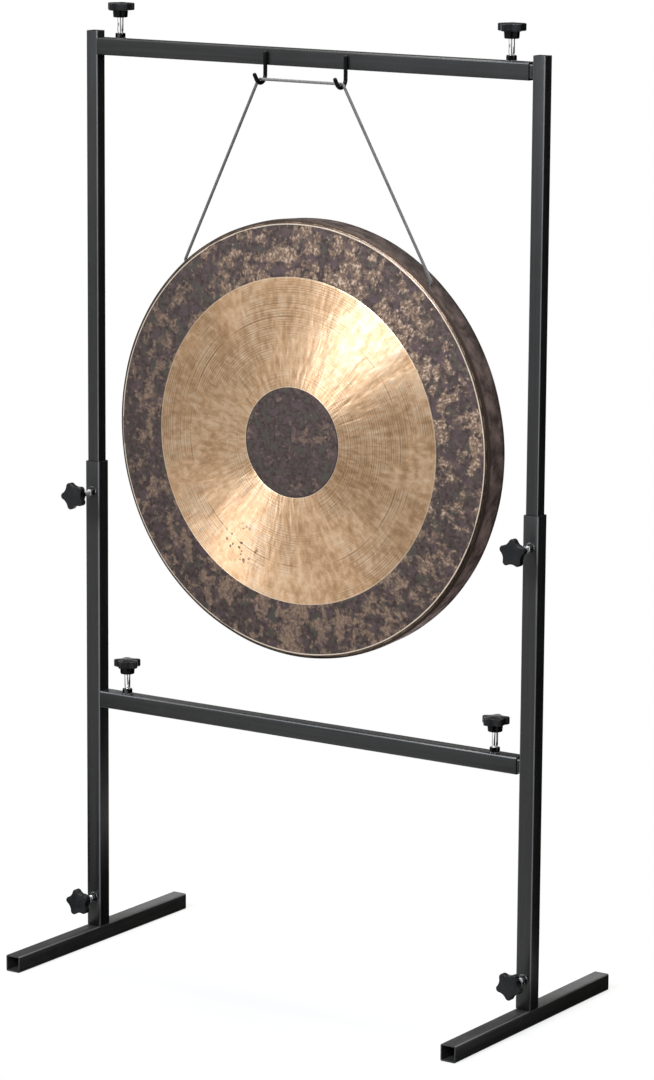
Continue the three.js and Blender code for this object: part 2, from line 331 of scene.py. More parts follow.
coatLook = {
    "base": (0.0105, 0.0104, 0.0101),
    "worn": (0.02, 0.0198, 0.0194),
    "streak": (0.0185, 0.0183, 0.0179),
    # the colour of the painted highlight along the rounded corners
    "edge": (0.34, 0.34, 0.34),
    "paintedLightLift": {"X": 1.0, "Y": 2.6, "Z": 1.0},  # painted light: the feet, along Y, get a lighter copy of the coat
    "specular": 0.44,
    "noises": {"cloud": (9, 4, 0.6), "peel": (420, 2, 0.5), "grain": (1500, 2, 0.6), "rubbed": (38, 6, 0.7)},
    "drawnNoises": {"marks": (260, 3, 0.6), "chips": (120, 4, 0.6)},
    "alongShare": 0.02,
    "spans": {
        "worn": (0.52, 0.75), "streak": (0.42, 0.64), "chips": (0.36, 0.6, 0.35, 1.0),
        "roughness": (0.3, 0.7, 0.3, 0.42),
    },
    "height": {"peel": 0.7, "grain": 0.3},
    "relief": (0.35, 0.0002),
}


# Powder coat with faint draw marks along the tube, and a painted highlight in patches along its rounded
# corners
def coatMaterial(axis, way):
    material, tree, shader = startMaterial(f"drawnTubeCoat{way}")
    look, spans = coatLook, coatLook["spans"]
    place = objectPlace(tree)
    noise = noisesAt(place, look["noises"])
    scale = [look["alongShare"] if index == axis else 1.0 for index in range(3)]
    drawn = noisesAt(remapped(place, Scale=scale), look["drawnNoises"])
    colour = layered(
        look["base"],
        (mapRange(noise.rubbed, *spans["worn"]), look["worn"]),
        (mapRange(drawn.marks, *spans["streak"]), look["streak"]),
    )
    # painted highlight along the rounded corners, broken into patches
    paintedCornerHighlight = attribute(tree, "cornerHighlight") * mapRange(drawn.chips, *spans["chips"])
    feed(shader, {
        # the lighter copy of the coat on the feet is painted light
        "Base Color": mixColours(paintedCornerHighlight, scaled(colour, look["paintedLightLift"][way]), look["edge"]),
        "Roughness": mapRange(noise.cloud, *spans["roughness"]),
        "Specular IOR Level": look["specular"],
        "Normal": bump(weighted(noise, look["height"]), *look["relief"]),
    })
    return material


# Plain finishes: a soft cloud parts the two colours, and a fine grain roughens the surface
plainLooks = {
    "blackMouldedPlastic": {
        "base": (0.019, 0.019, 0.0192), "cloudy": (0.03, 0.03, 0.0303), "clouds": (0.45, 0.75),
        # painted shade: the hub under the star gets a darker copy of the plastic
        "hub": (0.0015, 0.0015, 0.0015), "hubShadeShare": 0.95,
        "noises": {"cloud": (60, 4, 0.6), "grain": (2600, 2)}, "relief": (0.3, 0.0001),
        "roughness": (0.3, 0.7, 0.17, 0.27), "Specular IOR Level": 0.13,
    },
    "blackOxideNut": {
        "base": (0.004, 0.004, 0.0041), "cloudy": (0.01, 0.01, 0.0101), "clouds": (0.45, 0.75),
        "noises": {"cloud": (60, 4, 0.6), "grain": (1800, 2)}, "relief": (0.3, 0.0001),
        "roughness": (0.3, 0.7, 0.1, 0.18), "Specular IOR Level": 0.9,
    },
    "blackDippedWire": {
        "base": (0.002, 0.002, 0.002), "cloudy": (0.006, 0.006, 0.006), "clouds": (0.45, 0.75),
        "noises": {"cloud": (60, 4, 0.6), "grain": (1800, 2)}, "relief": (0.3, 0.0001),
        "roughness": (0.3, 0.7, 0.2, 0.32), "Specular IOR Level": 0.13,
    },
    "brightZincPlate": {
        "base": (0.95, 0.95, 0.955), "cloudy": (0.84, 0.845, 0.855), "clouds": (0.4, 0.75),
        "noises": {"cloud": (260, 4, 0.6), "grain": (1800, 2)}, "relief": (0.02, 0.00001),
        "roughness": (0.3, 0.7, 0.04, 0.09), "Metallic": 1.0,
    },
}
plainLooks["paleZincPlate"] = {**plainLooks["brightZincPlate"], "Metallic": 0.45}


def plainMaterial(name):
    look = plainLooks[name]
    material, tree, shader = startMaterial(name)
    noise = noisesAt(objectPlace(tree), look["noises"])
    colour = mixColours(mapRange(noise.cloud, *look["clouds"]), look["base"], look["cloudy"])
    # painted shade on the hub under the star
    if "hub" in look:
        colour = mixColours(attribute(tree, "hubShadeShare") * look["hubShadeShare"], colour, look["hub"])
    feed(shader, {
        "Base Color": colour,
        "Roughness": mapRange(noise.cloud, *look["roughness"]),
        "Normal": bump(noise.grain, *look["relief"]),
        **{key: look[key] for key in ("Metallic", "Specular IOR Level") if key in look},
    })
    return material


cordLook = {
    "light": (0.265, 0.256, 0.243),
    "dark": (0.115, 0.111, 0.106),
    "noises": {"fibres": (3200, 3, 0.6), "soil": (140, 4, 0.6)},
    "tone": {"fibres": 0.6, "soil": 0.4},
    "lightFrom": (0.35, 0.65),
    "relief": (0.5, 0.0002),
    "roughness": 0.75,
    "sheen": 0.3,
}


def cordMaterial():
    material, tree, shader = startMaterial("greyTwistedCord")
    noise = noisesAt(objectPlace(tree), cordLook["noises"])
    light = mapRange(weighted(noise, cordLook["tone"]), *cordLook["lightFrom"])
    feed(shader, {
        "Base Color": mixColours(light, cordLook["dark"], cordLook["light"]),
        "Roughness": cordLook["roughness"],
        "Sheen Weight": cordLook["sheen"],
        "Normal": bump(noise.fibres, *cordLook["relief"]),
    })
    return material


gongPlace = (0.0, -0.0265, 0.8184)  # the middle of the face, in the plane of its edge
gongShape = {
    "radius": 0.322, "wall": 0.002, "depth": 0.047, "shoulder": 0.008, "dome": 0.020, "taper": 0.0024,
    "goldShare": 0.763, "centreShare": 0.257,
    "lip": (0.0003, 0.12, 0.22), "tuck": (0.0006, 1.45, 0.2),  # height, then its angle and width
    "groove": 0.00035, "grooveWidth": 0.0007, "ringClear": 0.0016, "ringEdge": 0.0009,
    "holeRadius": 0.0035, "holeAngle": 41, "holeSetback": 0.016, "holeDepth": 0.02,
    "faceSteps": 84, "shoulderSteps": 16, "wallSteps": 10, "insideSteps": 6, "backSteps": 56,
    "turnSteps": 288,
}
faceRadius = gongShape["radius"] - gongShape["shoulder"]
centreRing, goldRing = faceRadius * gongShape["centreShare"], faceRadius * gongShape["goldShare"]


# Radius, place across and up, and depth on the gong, from its own axis
def gongCoordinates(tree):
    place = remapped(objectPlace(tree), Location=[-value for value in gongPlace])
    parts = addNode(tree, "ShaderNodeSeparateXYZ", {"Vector": place})
    across, depth, up = (Signal(parts, index) for index in range(3))
    radius = maths("SQRT", across * across + up * up)
    return SimpleNamespace(place=place, radius=radius, across=across, up=up, depth=depth)


# Noise drawn out along the radius or round it, for hammer strokes and brushed streaks
def strokesAt(at, outwards, alongScale, roundScale, *noise):
    inputs = {
        "X": at.across / outwards * roundScale,
        "Y": outwards * alongScale,
        "Z": at.up / outwards * roundScale,
    }
    return noiseAt(Signal(addNode(at.place.tree, "ShaderNodeCombineXYZ", inputs)), 1, *noise)


# Noise in rings, for the marks of the lathe
def ringNoise(radius, spacing):
    inputs = {"W": radius / spacing, "Scale": 1.0, "Detail": 1.0}
    return Signal(addNode(radius.tree, "ShaderNodeTexNoise", inputs, noise_dimensions="1D"), "Fac")


goldLook = {
    "pale": (0.89, 0.68, 0.48),
    "base": (0.745, 0.49, 0.295),
    "brown": (0.52, 0.328, 0.183),
    "line": (0.2, 0.125, 0.072),
    "edge": (0.85, 0.7, 0.52),
    "pit": (0.05, 0.035, 0.025),
    "noises": {"blots": (22, 4, 0.6), "speckle": (700, 3, 0.6), "turned": (11, 2), "pitted": (90, 1)},
    "strokes": {"rays": (17, 10, 2, 0.5, 0.3), "dabs": (75, 24, 3, 0.55, 0.4)},  # scale along and round first
    "tone": {"rays": 0.25, "dabs": 0.37, "blots": 0.22, "speckle": 0.16},
    "ringSpacing": 0.0014,
    "ringShare": 0.62,
    "bandSpacing": 0.009,
    "scribedRadius": 0.183,
    "pitPlace": (-0.094, 0.0, -0.16),
    "pitScale": 130,
    "edgeBand": (0.0008, 0.0016),
    "edgeShare": 0.7,
    "spans": {
        "base": (0.38, 0.51), "pale": (0.49, 0.63), "roughness": (0.4, 0.6, 0.56, 0.42),
        "rings": (0.42, 0.62), "turned": (0.42, 0.58, 0.15, 1.0), "bands": (0.35, 0.65, 0.0, 0.16),
        "scribed": (0.0003, 0.0009, 0.6, 0.0), "scribedPatches": (0.45, 0.55),
        "pits": (0.26, 0.4, 0.9, 0.0), "pitReach": (0.023, 0.046, 1.0, 0.0), "pitted": (0.49, 0.56),
    },
    "anisotropy": 0.88,
    "anisotropyTurn": 0.25,
    "broadRelief": (0.8, 0.0014),
    "height": {"dabs": 0.8, "rings": -0.2, "pits": -0.8},
    "relief": (0.4, 0.0006),
}


def goldMaterial():
    material, tree, shader = startMaterial("lathedBronze")
    look, spans = goldLook, goldLook["spans"]
    at = gongCoordinates(tree)
    noise = noisesAt(at.place, look["noises"])
    noise.rays, noise.dabs = (strokesAt(at, at.radius, *recipe) for recipe in look["strokes"].values())
    tone = weighted(noise, look["tone"])
    turned = mapRange(noise.turned, *spans["turned"], "SMOOTHSTEP")
    noise.rings = mapRange(ringNoise(at.radius, look["ringSpacing"]), *spans["rings"]) * turned
    bands = mapRange(ringNoise(at.radius, look["bandSpacing"]), *spans["bands"])
    gap = maths("ABSOLUTE", at.radius - look["scribedRadius"])
    scribed = mapRange(gap, *spans["scribed"]) * mapRange(noise.blots, *spans["scribedPatches"])
    cells = {"Vector": at.place, "Scale": look["pitScale"]}
    spots = Signal(addNode(tree, "ShaderNodeTexVoronoi", cells, feature="F1"), "Distance")
    ends = {0: at.place, 1: look["pitPlace"]}
    fromPits = Signal(addNode(tree, "ShaderNodeVectorMath", ends, operation="DISTANCE"), "Value")
    patchy = mapRange(fromPits, *spans["pitReach"]) * mapRange(noise.pitted, *spans["pitted"])
    noise.pits = mapRange(spots, *spans["pits"]) * patchy
    near, far = look["edgeBand"]
    outerEdge = mapRange(at.radius, goldRing - far, goldRing - near, 0.0, look["edgeShare"])
    innerEdge = mapRange(at.radius, centreRing + near, centreRing + far, look["edgeShare"], 0.0)
    tangent = addNode(tree, "ShaderNodeTangent", direction_type="RADIAL", axis="Y")
    broad = bump(noise.rays, *look["broadRelief"])
    feed(shader, {
        "Base Color": layered(
            look["brown"],
            (mapRange(tone, *spans["base"]), look["base"]),
            (mapRange(tone, *spans["pale"]), look["pale"]),
            (noise.rings * look["ringShare"], look["line"]),
            (bands, look["brown"]),
            (scribed, look["line"]),
            (noise.pits, look["pit"]),
            (largest(outerEdge, innerEdge), look["edge"]),
        ),
        "Metallic": 1.0,
        "Roughness": mapRange(tone, *spans["roughness"]),
        "Anisotropic": look["anisotropy"],
        "Anisotropic Rotation": look["anisotropyTurn"],
        "Tangent": Signal(tangent, "Tangent"),
        "Normal": bump(weighted(noise, look["height"]), *look["relief"], Normal=broad),
    })
    return material


patinaLook = {
    "dark": (0.058, 0.042, 0.039),
    "mid": (0.116, 0.086, 0.08),
    "purple": (0.123, 0.087, 0.093),
    "green": (0.098, 0.09, 0.076),
    "brown": (0.175, 0.123, 0.098),
    "darkTan": (0.2, 0.135, 0.098),
    "tan": (0.43, 0.3, 0.21),
    "cream": (0.74, 0.58, 0.47),
    "metallic": 0.75,
    "specular": 0.2,
    "noises": {
        "large": (28, 2, 0.5, 0.3), "medium": (66, 2, 0.5, 0.6), "small": (150, 3, 0.55, 0.3),
        "grain": (260, 3, 0.55), "tints": (60, 3, 0.55),
    },
    "dabs": (130, 75, 3, 0.6, 0.3),
    "fleck": {"grain": 0.55, "brushed": 0.45},
    "tone": {"large": 0.36, "medium": 0.42, "small": 0.22},
    "ground": {"small": 0.5, "fleck": 0.5},
    "spans": {
        "outer": (0.0942, 0.1256), "inTheMiddle": (0.0942, 0.1256, -0.078, 0.0), "highlightUpAndRight": (-0.1, 0.3),
        "mid": (0.4, 0.6), "purple": (0.52, 0.62, 0.0, 0.8), "green": (0.38, 0.47, 0.8, 0.0),
        "tan": (0.43, 0.57), "roughness": (0.45, 0.58, 0.52, 0.34),
        "tanOutside": (0.0, 1.0, 0.5), "tanInHighlight": (0.0, 1.0, 0.65),
    },
    "outwards": (0.018, -0.022),
    "leftwards": (-0.018, 0.0),
    "upOrDown": (0.0, 0.015),
    "upOrDownFrom": 0.1,
    "bare": {  # how tone and fleck mix, where the patch starts and is full, and how much of it then shows
        "brown": ({"tone": 0.88, "fleck": 0.12}, (0.47, 0.545), 0.8, "SMOOTHSTEP"),
        "bronze": ({"tone": 0.76, "fleck": 0.24}, (0.497, 0.572), 0.8, "SMOOTHSTEP"),
        "cream": ({"tone": 0.45, "fleck": 0.55}, (0.55, 0.615), 0.75, "LINEAR"),
    },
    "outline": (0.0026, 0.0008, 0.7),
    "outlineEnd": (0.0004, 0.0008),
    "height": {"medium": 0.6, "small": 0.6, "fleck": 0.2},
    "relief": (0.4, 0.0006),
}


# Dark oxide with brown, tan and cream patches: fewer in the middle, and more and brighter up and to the
# right, where their extra share is a painted highlight
def patinaMaterial(name, bareness):
    material, tree, shader = startMaterial(name)
    look, spans = patinaLook, patinaLook["spans"]
    at = gongCoordinates(tree)
    noise = noisesAt(at.place, look["noises"])
    outer = mapRange(at.radius, *spans["outer"])
    # painted highlight: more and brighter tan and cream patches up and to the right
    highlightUpAndRight = mapRange(at.across + at.up, *spans["highlightUpAndRight"])
    noise.brushed = noise.grain * (1.0 - outer) + strokesAt(at, at.radius, *look["dabs"]) * outer
    noise.fleck = weighted(noise, look["fleck"])
    fromMiddle = mapRange(at.radius, *spans["inTheMiddle"])
    byPlace = mapRange(at.radius, goldRing, faceRadius, *look["outwards"]) + fromMiddle
    byPlace += mapRange(at.across, -faceRadius, 0.0, *look["leftwards"])
    byPlace += mapRange(maths("ABSOLUTE", at.up), look["upOrDownFrom"], faceRadius, *look["upOrDown"])
    noise.tone = weighted(noise, look["tone"]) + byPlace
    brown, bronze, cream = (
        mapRange(weighted(noise, shares), *span, 0.0, most * bareness, kind)
        for shares, span, most, kind in look["bare"].values()
    )
    showing = mapRange(outer, *spans["tanOutside"]) * mapRange(highlightUpAndRight, *spans["tanInHighlight"])
    tan = mixColours(mapRange(noise.fleck, *spans["tan"]), look["darkTan"], look["tan"])
    wide, narrow, most = look["outline"]
    outline = mapRange(at.radius, centreRing - wide, centreRing - narrow, 0.0, most)
    start, end = look["outlineEnd"]
    inside = mapRange(at.radius, centreRing + start, centreRing + end, 1.0, 0.0)
    feed(shader, {
        "Base Color": layered(
            look["dark"],
            (mapRange(weighted(noise, look["ground"]), *spans["mid"]), look["mid"]),
            (mapRange(noise.tints, *spans["purple"]), look["purple"]),
            (mapRange(noise.tints, *spans["green"]), look["green"]),
            (brown, look["brown"]),
            (bronze * showing, tan),
            (cream * (highlightUpAndRight * outer), look["cream"]),
            (outline * inside, look["dark"]),
        ),
        "Metallic": look["metallic"],
        "Specular IOR Level": look["specular"],
        "Roughness": mapRange(noise.tone, *spans["roughness"]),
        "Normal": bump(weighted(noise, look["height"]), *look["relief"]),
    })
    return material


# The rim's colours follow the way over the shoulder, in metres from the edge of the face
rimLook = {
    "bands": [
        (0.0000, (0.78, 0.67, 0.55)),
        (0.0012, (0.74, 0.61, 0.49)),
        (0.0019, (0.11, 0.075, 0.054)),
        (0.0046, (0.075, 0.051, 0.038)),
        (0.0075, (0.045, 0.03, 0.023)),
        (0.0110, (0.05, 0.036, 0.029)),
        (0.0150, (0.105, 0.077, 0.068)),
        (0.0300, (0.135, 0.1, 0.09)),
        (0.0440, (0.095, 0.071, 0.066)),
        (0.0500, (0.02, 0.016, 0.015)),
    ],
    "reach": 0.055,
    "secondLine": 0.0048,
    "gold": (0.7, 0.5, 0.33),
    "dark": (0.035, 0.026, 0.023),
    "light": (0.19, 0.145, 0.132),
    "wallPaintedLight": (0.7, 6.0),  # painted shade near the gong's top and painted light near its bottom, where little light falls
    "wallPaintedLightReach": 0.8,
    "metallic": 0.85,
    "noises": {"blots": (44, 5, 0.65), "wobble": (30, 3)},
    "streaks": (260, 14, 4, 0.6),
    "streaky": {"streaks": 0.5, "blots": 0.5},
    "spans": {
        "wobble": (0.3, 0.7, -0.0003, 0.0003), "wall": (0.011, 0.016),
        "line": (0.00036, 0.0009, 0.35, 0.0), "linePatches": (0.46, 0.56),
        "light": (0.51, 0.59, 0.0, 0.7), "dark": (0.43, 0.52, 0.9, 0.0),
        "rough": (0.3, 0.7, 0.48, 0.64), "pastTheShoulder": (0.006, 0.012),
    },
    "roughness": {"rough": 0.6, "pastTheShoulder": 0.26},
    "height": {"blots": 0.6, "streaks": 0.4},
    "relief": (0.35, 0.0005),
}


def bandedRamp(way):
    ramp = addNode(way.tree, "ShaderNodeValToRGB", {"Fac": way / rimLook["reach"]})
    stops = ramp.color_ramp.elements
    while len(stops) < len(rimLook["bands"]):
        stops.new(1.0)
    for stop, (place, colour) in zip(stops, rimLook["bands"]):
        stop.position = place / rimLook["reach"]
        stop.color = (*colour, 1.0)
    return Signal(ramp, "Color")


def rimMaterial():
    material, tree, shader = startMaterial("burnishedRim")
    look, spans = rimLook, rimLook["spans"]
    at = gongCoordinates(tree)
    noise = noisesAt(at.place, look["noises"])
    noise.streaks = strokesAt(at, at.depth, *look["streaks"])
    way = at.radius - faceRadius + at.depth + mapRange(noise.wobble, *spans["wobble"])
    gap = maths("ABSOLUTE", way - look["secondLine"])
    line = mapRange(gap, *spans["line"]) * mapRange(noise.blots, *spans["linePatches"])
    onWall = mapRange(way, *spans["wall"])
    streaky = weighted(noise, look["streaky"])
    colour = layered(
        bandedRamp(way),
        (line, look["gold"]),
        (mapRange(streaky, *spans["light"]) * onWall, look["light"]),
        (mapRange(streaky, *spans["dark"]) * onWall, look["dark"]),
    )
    # painted shade towards the top of the wall and painted light towards its bottom
    high = gongShape["radius"] * look["wallPaintedLightReach"]
    paintedLightWall = scaled(colour, mapRange(at.up, high, -high, *look["wallPaintedLight"]))
    noise.rough = mapRange(noise.blots, *spans["rough"])
    noise.pastTheShoulder = mapRange(way, *spans["pastTheShoulder"])
    feed(shader, {
        "Base Color": mixColours(onWall, colour, paintedLightWall),
        "Metallic": look["metallic"],
        "Roughness": weighted(noise, look["roughness"]),
        "Normal": bump(weighted(noise, look["height"]), *look["relief"]),
    })
    return material


tubeCoats = [coatMaterial(axis, way) for axis, way in enumerate("XYZ")]
knobPlastic, nutBlack, wireBlack, brightZinc, paleZinc = (plainMaterial(name) for name in plainLooks)
greyCord = cordMaterial()
gongFinishes = {
    "gold": goldMaterial(),
    "patina": patinaMaterial("mottledPatina", 1.0),
    "rim": rimMaterial(),
    "back": patinaMaterial("darkBack", 0.45),
}
print("materials made")


# Cord: six strands twisted round a core, from a knot inside the rim over both hooks to the other knot

cordRoute = {
    "corners": [
        (-0.21017, -0.0105, 1.06018),
        (-0.21388, -0.0105, 1.06444),
        (-0.07238, -0.0278, 1.3384),
        (0.07238, -0.0278, 1.3384),
        (0.21388, -0.0105, 1.06444),
        (0.21017, -0.0105, 1.06018),
    ],
    "bends": [0.0, 0.005, 0.0056, 0.0056, 0.005, 0.0],
    "bendSteps": 8,
    "step": 0.0015,
    "diameter": 0.0045,
    "lay": 0.02,
    "strands": 6,
    "overlap": 1.06,  # neighbouring strands sink into each other a little
}


def roundedRoute(corners, bends, bendSteps):
    points = [Vector(corners[0])]
    for index in range(1, len(corners) - 1):
        corner, bend = Vector(corners[index]), bends[index]
        into = (corner - Vector(corners[index - 1])).normalized()
        away = (Vector(corners[index + 1]) - corner).normalized()
        turn = into.angle(away)
        start = corner - into * bend * math.tan(turn / 2)
        side = (away - into * away.dot(into)).normalized()
        for step in range(bendSteps + 1):
            angle = turn * step / bendSteps
            points.append(start + into * bend * math.sin(angle) + side * bend * (1 - math.cos(angle)))
    points.append(Vector(corners[-1]))
    return points


def evenPoints(points, step):
    spans = [(b - a).length for a, b in zip(points, points[1:])]
    total = sum(spans)
    count = max(2, round(total / step))
    result, index, walked = [], 0, 0.0
    for number in range(count + 1):
        target = min(total * number / count, total - 1e-9)  # just short of the end, inside the last span
        while walked + spans[index] < target:
            walked += spans[index]
            index += 1
        result.append(points[index].lerp(points[index + 1], (target - walked) / spans[index]))
    return result, total


# A frame that turns as little as it can along the route
def sideVectors(points):
    sides, side = [], Vector((0, 1, 0))
    for index in range(len(points)):
        ahead = points[min(index + 1, len(points) - 1)] - points[max(index - 1, 0)]
        ahead.normalize()
        side = (side - ahead * side.dot(ahead)).normalized()
        sides.append((side.copy(), ahead.cross(side)))
    return sides


# A round wire along each line, made into a mesh. The radii are shares of the radius at each point.
def curvePiece(name, lines, radius, resolution, radii=None):
    data = bpy.data.curves.new(name, "CURVE")
    data.dimensions = "3D"
    data.bevel_depth = radius
    data.bevel_resolution = resolution
    data.use_fill_caps = True
    for line in lines:
        spline = data.splines.new("POLY")
        spline.points.add(len(line) - 1)
        for index, point in enumerate(line):
            spline.points[index].co = (*point, 1.0)
            if radii:
                spline.points[index].radius = radii[index]
    pickPiece(addObject(name, data))
    bpy.ops.object.convert(target="MESH")
    return bpy.context.view_layer.objects.active


# The core and the strands round it, with the strands' radius
def twistedLines(points, diameter, lay, strands):
    strandRadius = diameter / 2 / (1 + 1 / math.sin(math.pi / strands))
    offset = diameter / 2 - strandRadius
    walked, lines = 0.0, [[] for _ in range(strands)]
    for index, (point, (first, second)) in enumerate(zip(points, sideVectors(points))):
        if index:
            walked += (point - points[index - 1]).length
        for strand, line in enumerate(lines):
            angle = 2 * math.pi * (walked / lay + strand / strands)
            line.append(point + first * offset * math.cos(angle) + second * offset * math.sin(angle))
    return [points, *lines], strandRadius


def makeCord():
    bent = roundedRoute(cordRoute["corners"], cordRoute["bends"], cordRoute["bendSteps"])
    route, length = evenPoints(bent, cordRoute["step"])
    lines, strandRadius = twistedLines(route, cordRoute["diameter"], cordRoute["lay"], cordRoute["strands"])
    cord = curvePiece("hanging_cord", lines, strandRadius * cordRoute["overlap"], 2)
    finishPiece(cord, "hanging_cord", "gong_cord", greyCord, 60)
    return cord, route, length


cord, cordPoints, cordLength = makeCord()


# Overhand knots in the same cord, just inside the rim's holes: a trefoil that isn't quite closed, and a tail

knotShape = {
    "turnRadius": 0.0026, "trefoilReach": 2.2, "closed": 0.97, "wave": 0.0013, "steps": 90,
    "tail": 0.012, "tailSteps": 12, "tailCurl": 0.002, "tailWay": (0.5, 0.6, 0.4), "cordRadius": 0.0019,
}


def makeKnot(side):
    low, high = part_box(f"{side}_cord_knot")
    centre = (low + high) / 2
    outward = Vector((centre.x, 0, centre.z - gongPlace[2])).normalized()
    across = Vector((0, 1, 0))
    third = outward.cross(across)
    scale = knotShape["turnRadius"] / knotShape["trefoilReach"]
    points = []
    for step in range(knotShape["steps"]):
        t = 2 * math.pi * step / (knotShape["steps"] - 1) * knotShape["closed"]
        a = math.sin(t) + 2 * math.sin(2 * t)
        b = math.cos(t) - 2 * math.cos(2 * t)
        c = -math.sin(3 * t)
        points.append(centre + across * a * scale + third * b * scale + outward * c * knotShape["wave"])
    sideways, inwards, backwards = knotShape["tailWay"]
    endWay = (third * sideways - outward * inwards + across * backwards).normalized()
    last, tail, curl = points[-1], endWay * knotShape["tail"], third * knotShape["tailCurl"]
    for step in range(1, knotShape["tailSteps"] + 1):
        share = step / knotShape["tailSteps"]
        points.append(last + tail * share + curl * share * share)
    name = f"{side}_overhand_knot"
    knot = curvePiece(name, [points], knotShape["cordRadius"], 3)
    return finishPiece(knot, name, f"{side}_cord_knot", greyCord, 60)


knots = [makeKnot(side) for side in ("left", "right")]
print("cord made, length", round(cordLength, 4))


# Square tubes: a long box with rounded corners, opened at both ends and given its wall

tubeKinds = {
    0.025: {"wall": 0.002, "corner": 0.0025},
    0.020: {"wall": 0.0015, "corner": 0.002},
}
tubeEdge = {"width": 0.00025, "segments": 2, "cornerSegments": 8, "sharp": 1.2}
studHole = {"vertices": 24, "radius": 0.0051, "depth": 0.012}
clampedTubes = {
    "left_lower_upright": ["left_foot", "left_height"],
    "right_lower_upright": ["right_foot", "right_height"],
    "lower_crossbar": ["lower_left", "lower_right"],
    "top_crossbar": ["top_left", "top_right"],
}
# how much of the painted corner highlight each tube keeps
cornerHighlightShare = {"top_crossbar": 0.1, "left_top_bar_stub": 0.0, "right_top_bar_stub": 0.0}


# The clamps on the uprights are named after their side first, and point to the front
def facesFront(clamp):
    return clamp.startswith(("left", "right"))


def cutStudHole(tube, clamp):
    low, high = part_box(f"{clamp}_nut")
    inward, turn = (Vector((0, 1, 0)), math.pi / 2) if facesFront(clamp) else (Vector((0, 0, -1)), 0)
    place = (low + high) / 2 + inward * (studHole["depth"] / 2)
    drill = addCylinder(studHole["vertices"], studHole["radius"], studHole["depth"], place, (turn, 0, 0))
    combine(tube, drill)


# Where the corners' painted highlight goes: one in the middle of each rounded corner along a tube, and nought
# on its flat sides
def markCorners(tube, low, high, axis, corner, share):
    sides = [index for index in range(3) if index != axis]
    highlightMarks = tube.data.attributes.new("cornerHighlight", "FLOAT", "POINT")
    middle = corner * (1 - math.sqrt(0.5))
    for vert, mark in zip(tube.data.vertices, highlightMarks.data):
        first, second = (min(vert.co[side] - low[side], high[side] - vert.co[side]) for side in sides)
        inCorner = max(first, second) < corner and math.hypot(corner - first, corner - second) > corner * 0.9
        mark.value = share * min(1.0, min(first, second) / middle) if inCorner else 0.0


def makeTube(node):
    low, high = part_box(node)
    size = high - low
    axis = max(range(3), key=lambda index: size[index])
    kind = tubeKinds[round(min(size), 3)]
    tube = addShape(bpy.ops.mesh.primitive_cube_add, size=1, location=(low + high) / 2, scale=size)
    placeInMesh(tube)
    bevelWhere(
        tube, "edges", lambda edge: abs((edge.verts[0].co - edge.verts[1].co)[axis]) > size[axis] / 2,
        offset=kind["corner"], segments=tubeEdge["cornerSegments"], profile=0.5,
    )
    selectWhere(tube, "faces", lambda face: abs(face.normal[axis]) > 0.9)
    bpy.ops.mesh.delete(type="FACE")
    bpy.ops.object.mode_set(mode="OBJECT")
    applyModifier(tube, "SOLIDIFY", thickness=kind["wall"], offset=-1.0, use_even_offset=True)
    atEnd = lambda vert: min(abs(vert.co[axis] - end[axis]) for end in (low, high)) < 1e-5
    bevelWhere(
        tube, "edges",
        lambda edge: all(atEnd(vert) for vert in edge.verts) and edge.calc_face_angle(0) > tubeEdge["sharp"],
        offset=tubeEdge["width"], segments=tubeEdge["segments"],
    )
    for clamp in clampedTubes.get(node, []):
        cutStudHole(tube, clamp)
    markCorners(tube, low, high, axis, kind["corner"], cornerHighlightShare.get(node, 1.0))
    return finishPiece(tube, f"{node}_tube", node, tubeCoats[axis], 50)


tubeNodes = [
    f"{side}_{part}"
    for side in ("left", "right")
    for part in ("foot", "foot_stub", "lower_upright", "upper_upright", "lower_bar_stub", "top_bar_stub")
] + ["lower_crossbar", "top_crossbar"]
for node in tubeNodes:
    makeTube(node)
print("tubes made:", len(tubeNodes))


# Clamp screws. Each is modelled upright at the origin, with zero on the tube's face, and copied.

nutShape = {
    "across": 0.013, "height": 0.008, "chamfer": 0.0009, "barrel": 1.002, "bore": 0.0048, "edge": 0.0002,
}


# A hexagon, chamfered at the top by a barrel that passes just outside its corners
def makeNut():
    height = nutShape["height"]
    cornerRadius = nutShape["across"] / 2 / math.cos(math.pi / 6)
    nut = placeInMesh(addCylinder(6, cornerRadius, height, (0, 0, height / 2)))
    barrel = addCylinder(64, cornerRadius * nutShape["barrel"], height * 2)
    bevelWhere(
        barrel, "faces", lambda face: face.normal.z > 0.9,
        offset=nutShape["chamfer"], segments=1, affect="EDGES",
    )
    combine(nut, barrel, "INTERSECT")
    combine(nut, addCylinder(40, nutShape["bore"], height * 3))
    applyModifier(
        nut, "BEVEL", width=nutShape["edge"], segments=2, limit_method="ANGLE", angle_limit=math.radians(40),
    )
    return nut


beadShape = {
    "ring": 0.0071, "radius": 0.0013, "ringSteps": 104, "roundSteps": 12,
    "ripples": 26, "ripple": 0.00018, "rippleRise": 0.6, "drift": 0.7, "drifts": 3,
}


# The weld bead round a nut's foot. Its ripples drift, so that they aren't all of one length.
def makeBead():
    bead = addShape(
        bpy.ops.mesh.primitive_torus_add, major_radius=beadShape["ring"], minor_radius=beadShape["radius"],
        major_segments=beadShape["ringSteps"], minor_segments=beadShape["roundSteps"],
    )
    for vert in bead.data.vertices:
        angle = math.atan2(vert.co.y, vert.co.x)
        drift = beadShape["drift"] * math.sin(beadShape["drifts"] * angle)
        ripple = beadShape["ripple"] * math.sin(beadShape["ripples"] * angle + drift)
        vert.co += Vector((math.cos(angle), math.sin(angle), beadShape["rippleRise"])) * ripple
    return bead


studShape = {
    "radius": 0.0046, "edge": 0.0004, "grip": 0.008, "tip": 0.0022,
    "threadTop": 0.0105, "coreIntoShank": 0.001,
    "threadRadius": 0.0047, "threadDepth": 0.00075, "ridgeIntoCore": 0.0001, "pitch": 0.0015,
    "ridge": (0.05, 0.95, 0.5),  # its two corners on the core and its crest, as shares of the pitch
    "turnSteps": 36,
}


